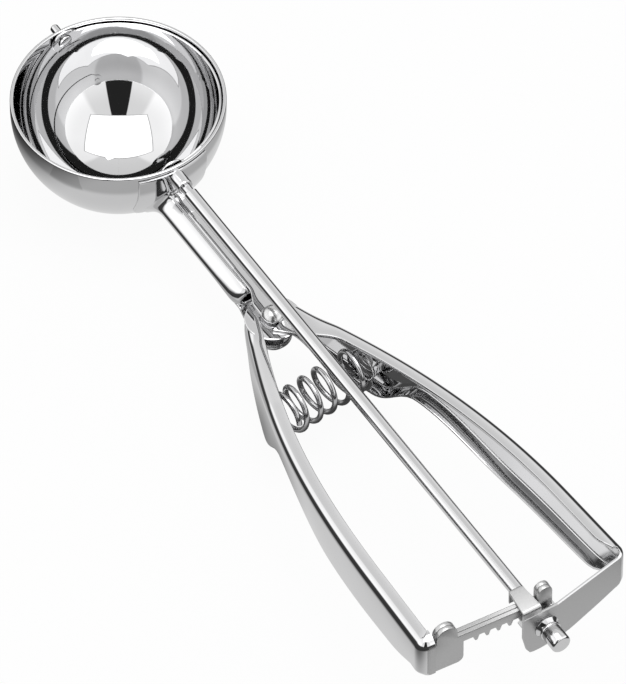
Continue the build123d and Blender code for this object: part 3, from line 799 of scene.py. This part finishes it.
def with_end_bore(mesh):
    """The mesh with the rear bush's hole cut through it."""
    profile = [(BORE_FROM, 0.0), (BORE_FROM, END_BORE), (BORE_TO, END_BORE), (BORE_TO, 0.0)]
    body, tool = new_object("body", mesh), new_object("tool", to_mesh([turned(profile)]))
    hole = body.modifiers.new("hole", "BOOLEAN")
    hole.operation, hole.object, hole.solver = "DIFFERENCE", tool, "EXACT"
    dependencies = bpy.context.evaluated_depsgraph_get()
    result = bpy.data.meshes.new_from_object(body.evaluated_get(dependencies))
    bpy.data.objects.remove(body)
    bpy.data.objects.remove(tool)
    return result


# The ears: tops of the lower ones, rivet bores, the drawn edge, and how faces are kept apart.
FIXED_LOW_EAR, LEVER_LOW_EAR = -16.7, -15.8
FIXED_BORE, LEVER_BORE = 2.0, 2.05
EAR_DRAWN_EDGE, HAIR = 0.7, 0.01

fixed_parts = [
    loft(FixedHandle(FIXED_CORNER, FIXED_END_PLAN, FIXED_ROOT_LOW).rings()),
    plate(smooth(EAR_OUTLINE, 8), EAR_TOP - HAIR, EAR_DRAWN_EDGE),
    disc(LOW_EAR_RADIUS, FIXED_LOW_EAR, FIXED_BORE),
    folded_tab(),
]
lever_parts = [
    loft(LeverHandle(LEVER_CORNER, LEVER_END_PLAN, LEVER_ROOT_LOW).rings()),
    disc(EAR_RADIUS, EAR_TOP - EAR_STEP - 2 * HAIR, LEVER_BORE),
    disc(LOW_EAR_RADIUS, LEVER_LOW_EAR, LEVER_BORE),
]
HANDLES = (
    ("fixed_handle_sheet", with_end_bore(to_mesh(fixed_parts)), "frame", "fixed_handle"),
    ("lever_handle_sheet", to_mesh(lever_parts), "lever", "lever_handle"),
)

END_FACING, END_FROM, TAB_FROM, TAB_SIDES = 0.9, 208, 206, (-8, 3)


def is_satin(centre, normal):
    """Whether a handle's face belongs to the dull end plates or to the tab."""
    on_end = normal.x > END_FACING and centre.x > END_FROM
    return on_end or (centre.x > TAB_FROM and TAB_SIDES[0] < centre.y < TAB_SIDES[1])


for name, mesh, body, node in HANDLES:
    piece = add_piece(name, mesh, body, [node], POLISHED)
    piece.data.materials.append(SATIN)
    for face in piece.data.polygons:
        if is_satin(face.center / MM, face.normal):
            face.material_index = 1

# ---- neck bracket: the strap round the bowl, the rolled neck and two tongues at the rivet ----

STRAP_RADIUS, STRAP_HALF, STRAP_TOP, STRAP_LOW, STRAP_CORNER = 30.32, 10.7, 2.2, -15.0, 2.6
SIDE_EASING, END_EASING = 0.2, 0.15
STRAP_COLUMNS, STRAP_ROWS = 64, 30


def strap():
    """The sheet that cups the bowl, between two upright edges and with rounded lower corners."""
    rings = []
    for column in range(STRAP_COLUMNS + 1):
        y = -STRAP_HALF * math.cos(math.pi * column / STRAP_COLUMNS)
        away = max(0.0, abs(y) - (STRAP_HALF - STRAP_CORNER))
        drop = math.sqrt(max(0.0, STRAP_CORNER**2 - away**2))
        low = STRAP_LOW + STRAP_CORNER - drop
        easing = SIDE_EASING if column in (0, STRAP_COLUMNS) else 0.0
        ring = []
        for radius, order in ((STRAP_RADIUS - easing, 1), (STRAP_RADIUS - SHEET + easing, -1)):
            for row in range(STRAP_ROWS + 1)[::order]:
                z = blend(low, STRAP_TOP, row / STRAP_ROWS)
                at_end = row in (0, STRAP_ROWS) and not easing
                face = radius - END_EASING * order if at_end else radius
                ring.append((math.sqrt(face**2 - y**2 - min(z, 0.0) ** 2), y, z))
        rings.append(ring)
    return loft(rings)


# The neck's cross-section in y and z: a broad lobe on the lever's side, a groove and a flat.
NECK_OUTLINE = (
    (-0.95, -8.35), (-1.2, -8.15), (-1.5, -7.85), (-2.0, -7.75), (-2.8, -8.3), (-3.6, -9.08),
    (-4.4, -9.95), (-5.0, -10.7), (-5.3, -11.3), (-5.25, -11.9), (-4.75, -13.2), (-3.8, -14.6),
    (-2.6, -15.35), (-0.8, -15.5), (1.6, -15.5), (3.2, -15.1), (4.1, -14.1), (4.5, -12.8),
    (4.5, -11.2), (4.25, -9.8), (3.7, -8.9), (3.0, -8.4), (2.3, -8.15), (1.9, -8.3),
    (1.6, -8.1), (0.6, -8.05), (-0.3, -8.15), (-0.65, -8.3),
)
NECK_MIDDLE, NECK_HALF_WIDTH, NECK_HALF_HEIGHT = -11.5, 4.5, 4.0

# Growth of the outline against x: from the strap's face out, along the tube, and back inside it.
NECK_SINK = 0.05
NECK_FLARE = (
    (2.6, 0.0), (1.8, 0.25), (1.1, 0.7), (0.6, 1.3), (0.25, 2.1), (0.06, 3.0), (0.0, 3.8),
)
NECK_STAGES = (
    (35.0, 0.0), (42.0, 0.0), (50.0, 0.0), (58.0, 0.0), (64.0, -0.1), (66.5, -0.35),
    (68.0, -0.9), (68.7, -1.5), (68.8, -1.9), (68.5, -2.2), (67.5, -2.1), (64.0, -1.2),
    (34.0, -1.05),
)

# Toward its end the tube's foot drops, and the end is cut at a slant.
FOOT_DROP, FOOT_DROP_RUN, SLANT, SLANT_START = 1.8, (58.0, 70.0), 1.6, 66.0


def widened(outline, growth):
    wide, high = 1 + growth / NECK_HALF_WIDTH, 1 + growth / NECK_HALF_HEIGHT
    return [(y * wide, NECK_MIDDLE + (z - NECK_MIDDLE) * high) for y, z in outline]


def neck():
    """The rolled tube: it flares into the strap, and its far end is rolled in and open."""
    outline = smooth(NECK_OUTLINE, 5)
    rings = []
    square = (STRAP_RADIUS - NECK_SINK) ** 2
    for growth, step in NECK_FLARE:
        flared = widened(outline, growth)
        rings.append([(math.sqrt(square - y**2 - z**2) + step, y, z) for y, z in flared])
    for x, growth in NECK_STAGES:
        ring = []
        for y, z in widened(outline, growth):
            lowered = z - FOOT_DROP * ease(x, *FOOT_DROP_RUN) * ease(-z, 9.0, 15.0)
            slant = SLANT * ease(-z, 8.0, 15.0) if x > SLANT_START else 0.0
            ring.append((x - slant, y, lowered))
        rings.append(ring)
    return loft(rings)


TONGUE_HALF, TONGUE_RIGHT, TONGUE_END = 3.0, 3.6, 74.0
TONGUE_STEP_RUN, TONGUE_RIGHT_RUN, TONGUE_LEFT_RUN = (67.0, 71.0), (64.0, 72.0), (68.0, 74.5)
TONGUE_STEPS, SMALLEST_SQUARE = 24, 0.01
TONGUE_EDGE = ((0.3, 0.0), (0.1, -0.06), (0.0, -0.3), (0.0, -0.65), (0.15, -SHEET))


def tongue(top, start_height, start, left_start):
    """A flat tongue that leaves the neck, steps to its level and ends round the rivet."""
    stations = [
        start + (TONGUE_END - start) * step / TONGUE_STEPS for step in range(TONGUE_STEPS + 1)
    ]
    for angle in range(-20, 91, 10):
        stations.append(PIVOT_X + TONGUE_HALF * math.sin(math.radians(angle)))
    rings = []
    for x in sorted(stations):
        height = blend(start_height, top, ease(x, *TONGUE_STEP_RUN))
        right = blend(TONGUE_RIGHT, TONGUE_HALF, ease(x, *TONGUE_RIGHT_RUN))
        left = blend(left_start, -TONGUE_HALF, ease(x, *TONGUE_LEFT_RUN))
        if x > PIVOT_X:
            right = math.sqrt(max(SMALLEST_SQUARE, TONGUE_HALF**2 - (x - PIVOT_X) ** 2))
            left = -right
        most = (right - left) / 3
        edge = [(min(inset, most), height + rise) for inset, rise in TONGUE_EDGE]
        ring = [(x, left + inset, z) for inset, z in edge]
        rings.append(ring + [(x, right - inset, z) for inset, z in reversed(edge)])
    return loft(rings)


NECK_SHARP_ANGLE = 70.0
bracket = to_mesh([
    strap(),
    neck(),
    tongue(top=-8.2, start_height=-8.0, start=60.0, left_start=-0.9),
    tongue(top=-17.6, start_height=-15.0, start=62.0, left_start=-3.6),
])
add_piece("neck_and_strap", bracket, "frame", ["neck_bracket"], POLISHED, sharp=NECK_SHARP_ANGLE)

# The rivet from its foot to its dome, as (height, radius) pairs.
RIVET = [
    (-20.2, 0.0), (-20.2, 2.4), (-20.05, 2.95), (-19.7, 3.2), (-19.15, 3.2), (-19.0, 3.0),
    (-19.0, 1.95), (-8.2, 1.95), (-8.2, 3.12), (-7.95, 2.98), (-7.6, 2.72), (-7.25, 2.4),
    (-6.95, 2.02), (-6.7, 1.6), (-6.5, 1.15), (-6.36, 0.6), (-6.3, 0.0),
]
rivet_mesh = to_mesh([turned(RIVET, upright=True)])
add_piece("domed_rivet", rivet_mesh, "frame", ["pivot_rivet"], TUMBLED)

# ---- small plates with eased edges ----

SOLID_WELD, FLAT_ANGLE, EASED_ANGLE = 0.000002, 0.02, 0.7


def eased(name, width):
    """A solid's own mesh with its sharp edges eased, in millimetres."""
    mesh = frame["nodes"][name].data.copy()
    mesh.materials.clear()
    with editing(mesh) as edit:
        bmesh.ops.remove_doubles(edit, verts=edit.verts, dist=SOLID_WELD)
        bmesh.ops.scale(edit, vec=(1 / MM, 1 / MM, 1 / MM), verts=edit.verts)
        bmesh.ops.dissolve_limit(edit, angle_limit=FLAT_ANGLE, verts=edit.verts, edges=edit.edges)
        joined = [edge for edge in edit.edges if len(edge.link_faces) == 2]
        bmesh.ops.bevel(
            edit,
            geom=[edge for edge in joined if edge.calc_face_angle() > EASED_ANGLE],
            offset=width,
            segments=2,
            profile=0.5,
            affect="EDGES",
            clamp_overlap=True,
        )
    return mesh


EASED = (
    ("rack_front_sheet", "rack_front", "lever", SATIN, "satin_steel", 0.22),
    ("rack_rear_sheet", "rack_rear", "lever", SATIN, "satin_steel", 0.22),
    ("spring_cup_left", "spring_seat_left", "lever", POLISHED, "polished_steel", 0.2),
    ("spring_cup_right", "spring_seat_right", "frame", POLISHED, "polished_steel", 0.2),
)
for name, node, body, material, slot, width in EASED:
    add_piece(name, eased(node, width), body, [node], material)

# ---- spring: a wire coil between the two handles, closed at both ends ----

SPRING_START, SPRING_END = np.array((102.5, 12.6, -15.0)), np.array((106.0, -13.8, -15.0))
WIRE_RADIUS, COIL_RADIUS, COIL_TURNS, COIL_PHASE = 0.8, 5.9, 6.0, math.radians(169.8)

# Turns that lie closed at each end, and how far from the seats the wire's axis starts and ends up.
COIL_CLOSED, COIL_FIRST, COIL_SEATED = 0.7, 0.9, 2.0
COIL_STEPS, WIRE_SIDES, WIRE_END_SCALE = 360, 14, 0.75


def coil_line():
    """Centre points of the wire, each with its spoke from the coil's axis."""
    axis = SPRING_END - SPRING_START
    length = np.linalg.norm(axis)
    axis = axis / length
    upward = np.array((0.0, 0.0, 1.0))
    across = np.cross(axis, upward)
    pitch = (
        (0.0, COIL_FIRST),
        (COIL_CLOSED, COIL_SEATED),
        (COIL_TURNS - COIL_CLOSED, length - COIL_SEATED),
        (COIL_TURNS, length - COIL_FIRST),
    )
    centres, spokes = [], []
    for step in range(COIL_STEPS + 1):
        turn = COIL_TURNS * step / COIL_STEPS
        angle = COIL_PHASE + 2 * math.pi * turn
        spoke = across * math.cos(angle) + upward * math.sin(angle)
        centres.append(SPRING_START + axis * interpolate(turn, pitch) + spoke * COIL_RADIUS)
        spokes.append(spoke)
    return centres, spokes


def spring_mesh():
    """The wire round its line, with its two cut ends slightly eased."""
    centres, spokes = coil_line()
    rings = []
    for i, (centre, spoke) in enumerate(zip(centres, spokes)):
        side = np.cross(along_run(centres, i), spoke)
        ring = []
        for angle in full_turn(WIRE_SIDES):
            ring.append((spoke * math.cos(angle) + side * math.sin(angle)) * WIRE_RADIUS)
        whole = [tuple(centre + offset) for offset in ring]
        cut_end = [tuple(centre + offset * WIRE_END_SCALE) for offset in ring]
        if i == 0:
            rings.append(cut_end)
        rings.append(whole)
        if i == COIL_STEPS:
            rings.append(cut_end)
    return to_mesh([loft(rings)])


coil = add_piece("return_spring", spring_mesh(), None, ["spring"], WIRE)
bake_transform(coil)

# ---- every solid that stays gets a steel finish ----

for subpart in frame["record"]["subparts"]:
    node = frame["nodes"][subpart["node"]]
    node.data.materials.clear()
    node.data.materials.append(SLOT_MATERIAL[subpart["material_slot"]])

# ---- camera: the photograph's viewing angle, from far off ----

AZIMUTH, ELEVATION = math.radians(57.7), math.radians(50.2)
CAMERA_DISTANCE, VIEW_HEIGHT, SENSOR = 4.0, 0.1834, 36.0
AIM = Vector((0.1025, -0.0021, 0.0049))

level = math.cos(ELEVATION)
back = Vector((math.sin(AZIMUTH) * level, -math.cos(AZIMUTH) * level, math.sin(ELEVATION)))
camera_data = bpy.data.cameras.new("camera")
camera_data.sensor_width = SENSOR
camera_data.lens = SENSOR * CAMERA_DISTANCE / VIEW_HEIGHT
camera_data.clip_start, camera_data.clip_end = 0.1, 20.0
camera = new_object("camera", camera_data)
camera.location = AIM + back * CAMERA_DISTANCE
camera.rotation_mode = "QUATERNION"
camera.rotation_quaternion = (-back).to_track_quat("-Z", "Y")
bpy.context.scene.camera = camera

# ---- light tent: a white ceiling, pale walls with a dark slot, and a dark gap at the horizon ----

TENT_FRONT = Vector((math.sin(AZIMUTH), -math.cos(AZIMUTH), 0.0))
TENT_SIDE = Vector((math.cos(AZIMUTH), math.sin(AZIMUTH), 0.0))
TENT_UP = (0.0, 0.0, 1.0)
TENT_LIGHT = 1.22

# The ceiling is a rectangle: half sizes and shift, as tangents from straight up.
CEILING_HALF_SIDE, CEILING_HALF_FRONT, CEILING_SHIFT = 0.70, 0.47, 0.11
CEILING_LEVEL, SEAM_LEVEL, SEAM_STRENGTH = 1.6, 0.15, 0.75

# Walls: darker toward the ceiling and behind the object, and lighter beside it.
WALL_FADE, WALL_TOP_LEVEL = (0.30, 0.75), 0.82
BEHIND_FADE, BEHIND_LEVEL = (-0.7, 0.0), 0.85
BESIDE_FADE, BESIDE_GAIN = (0.85, 1.1), 0.3

# A dark slot in front, as the tangent of its half width, and the gap between walls and table.
SLOT_EDGE, SLOT_LEVEL = (0.27, 0.29), 0.02
GAP_EDGE, GAP_LEVEL = (0.08, 0.24), 0.05
SMALLEST = 0.001

world = bpy.data.worlds.new("light tent")
bpy.context.scene.world = world
world.use_nodes = True
nodes = Nodes(world.node_tree)
direction = nodes.add("ShaderNodeTexCoord").outputs["Generated"]
ahead = nodes.vector("DOT_PRODUCT", direction, TENT_FRONT)
aside = nodes.vector("DOT_PRODUCT", direction, TENT_SIDE)
upward = nodes.vector("DOT_PRODUCT", direction, TENT_UP)
sideways = nodes.math("ABSOLUTE", aside)

height = nodes.math("MAXIMUM", upward, SMALLEST)
forward = nodes.math("SUBTRACT", nodes.math("DIVIDE", ahead, height), CEILING_SHIFT)
across = nodes.math("DIVIDE", nodes.math("DIVIDE", sideways, height), CEILING_HALF_SIDE)
along = nodes.math("DIVIDE", nodes.math("ABSOLUTE", forward), CEILING_HALF_FRONT)
reach = nodes.math("MAXIMUM", across, along)

depth = nodes.math("MAXIMUM", nodes.math("ABSOLUTE", ahead), 0.01)
beside = nodes.ramp(nodes.math("DIVIDE", sideways, depth), *BESIDE_FADE, 0.0, BESIDE_GAIN)
behind = nodes.ramp(ahead, *BEHIND_FADE, BEHIND_LEVEL, 1.0)
wall = nodes.ramp(upward, *WALL_FADE, 1.0, WALL_TOP_LEVEL)
wall = nodes.scale(wall, nodes.math("ADD", behind, beside))

tent = nodes.mix(nodes.ramp(reach, 0.99, 1.01, 1.0, 0.0), wall, CEILING_LEVEL)
seam = nodes.scale(
    nodes.ramp(reach, 0.975, 0.985),
    nodes.ramp(reach, 1.0, 1.03, 1.0, 0.0),
    SEAM_STRENGTH,
)
tent = nodes.mix(seam, tent, SEAM_LEVEL)
slot_width = nodes.math("DIVIDE", sideways, nodes.math("MAXIMUM", ahead, SMALLEST))
in_slot = nodes.scale(nodes.ramp(slot_width, *SLOT_EDGE, 1.0, 0.0), nodes.ramp(reach, 1.0, 1.01))
tent = nodes.mix(in_slot, tent, SLOT_LEVEL)
tent = nodes.mix(nodes.ramp(upward, *GAP_EDGE, 1.0, 0.0), tent, GAP_LEVEL)

seen = nodes.add("ShaderNodeLightPath").outputs["Is Camera Ray"]
strength = nodes.mix(seen, nodes.scale(tent, TENT_LIGHT), 1.0)
background = world.node_tree.nodes["Background"]
background.inputs["Color"].default_value = (1.0, 1.0, 1.0, 1.0)
nodes.link(strength, background.inputs["Strength"])

# ---- floor and lamp ----

FLOOR_Z, FLOOR_REACH, FLOOR_CENTRE, FLOOR_SIDES = -30.0, 420.0, 0.09, 96
FLOOR_COLOUR, FLOOR_WHITE = 0.55, 0.94

# Painted reflection of the table, the floor's glow for glossy rays, in metres: bright near the
# middle line, dark farther off, a painted shadow under the spring, and greyer in a ring and one
# patch beside the bowl.
LINE_MIDDLE, LINE_HALF = 0.128, 0.09
TABLE_FADE, TABLE_NEAR, TABLE_FAR = (0.042, 0.085), 0.78, 0.05
# A painted shadow under the spring in the painted reflection: its centre, fade and level.
SPRING_SHADOW_SPOT, SPRING_SHADOW_FADE, SPRING_SHADOW_LEVEL = (0.108, 0.005, -0.030), (0.016, 0.042), 0.12
BOWL_SPOT, BOWL_FADE_IN, BOWL_FADE_OUT = (0.0, 0.0, -0.030), (0.040, 0.050), (0.066, 0.085)
BOWL_LEVEL, PATCH_LEVEL = 0.7, 0.78
PATCH_AHEAD, PATCH_ASIDE = (0.26, -0.966, 0.0), (0.966, 0.26, 0.0)
PATCH_START, PATCH_SIDE = (0.040, 0.046), (0.011, 0.012)

floor_ring = [around(turn, FLOOR_REACH, FLOOR_Z) for turn in full_turn(FLOOR_SIDES)]
floor_mesh = to_mesh([(floor_ring, [tuple(range(FLOOR_SIDES))])])
to_metres(floor_mesh, FLOOR_CENTRE)
floor = new_object("floor", floor_mesh)
paper = bpy.data.materials.new("white paper")
paper.use_nodes = True
nodes = Nodes(paper.node_tree)
surface = paper.node_tree.nodes["Principled BSDF"]
surface.inputs["Base Color"].default_value = (FLOOR_COLOUR, FLOOR_COLOUR, FLOOR_COLOUR, 1.0)
surface.inputs["Roughness"].default_value = 0.9
surface.inputs["Specular IOR Level"].default_value = 0.0
spot = nodes.add("ShaderNodeTexCoord").outputs["Object"]

plan = nodes.add("ShaderNodeSeparateXYZ", {0: spot})
off_middle = nodes.math("ABSOLUTE", nodes.math("SUBTRACT", plan.outputs["X"], LINE_MIDDLE))
beyond = nodes.math("MAXIMUM", nodes.math("SUBTRACT", off_middle, LINE_HALF), 0.0)
square = nodes.math("POWER", nodes.math("ABSOLUTE", plan.outputs["Y"]), 2.0)
far_off = nodes.math("SQRT", nodes.math("ADD", nodes.math("POWER", beyond, 2.0), square))
from_spring_shadow = nodes.vector("DISTANCE", spot, SPRING_SHADOW_SPOT)
from_bowl = nodes.vector("DISTANCE", spot, BOWL_SPOT)
in_ring = nodes.scale(
    nodes.ramp(from_bowl, *BOWL_FADE_IN),
    nodes.ramp(from_bowl, *BOWL_FADE_OUT, 1.0, 0.0),
)
off_patch = nodes.math("ABSOLUTE", nodes.vector("DOT_PRODUCT", spot, PATCH_ASIDE))
in_patch = nodes.scale(
    nodes.ramp(nodes.vector("DOT_PRODUCT", spot, PATCH_AHEAD), *PATCH_START),
    nodes.ramp(off_patch, *PATCH_SIDE, 1.0, 0.0),
)
# Painted reflection for the metal: the glow strength that glossy rays see on the floor.
painted_reflection = nodes.scale(
    nodes.ramp(far_off, *TABLE_FADE, TABLE_NEAR, TABLE_FAR),
    nodes.ramp(from_spring_shadow, *SPRING_SHADOW_FADE, SPRING_SHADOW_LEVEL, 1.0),
    nodes.ramp(in_ring, 0.0, 1.0, 1.0, BOWL_LEVEL),
    nodes.ramp(in_patch, 0.0, 1.0, 1.0, PATCH_LEVEL),
)

path = nodes.add("ShaderNodeLightPath")
camera_ray, glossy_ray = path.outputs["Is Camera Ray"], path.outputs["Is Glossy Ray"]
glow = nodes.add("ShaderNodeEmission", {"Strength": nodes.mix(camera_ray, painted_reflection, 1.0)})
share = nodes.math("ADD", nodes.scale(camera_ray, FLOOR_WHITE), glossy_ray, clamp=True)
lit = nodes.add("ShaderNodeMixShader", {0: share, 1: surface.outputs[0], 2: glow.outputs[0]})
nodes.link(lit.outputs[0], paper.node_tree.nodes["Material Output"].inputs["Surface"])
floor_mesh.materials.append(paper)

lamp_data = bpy.data.lights.new("overhead softbox", "AREA")
lamp_data.shape, lamp_data.size, lamp_data.energy = "SQUARE", 0.5, 2.0
lamp = new_object("overhead softbox", lamp_data)
lamp.location = (0.05, 0.05, 0.75)

bpy.context.scene.view_settings.view_transform = "Standard"
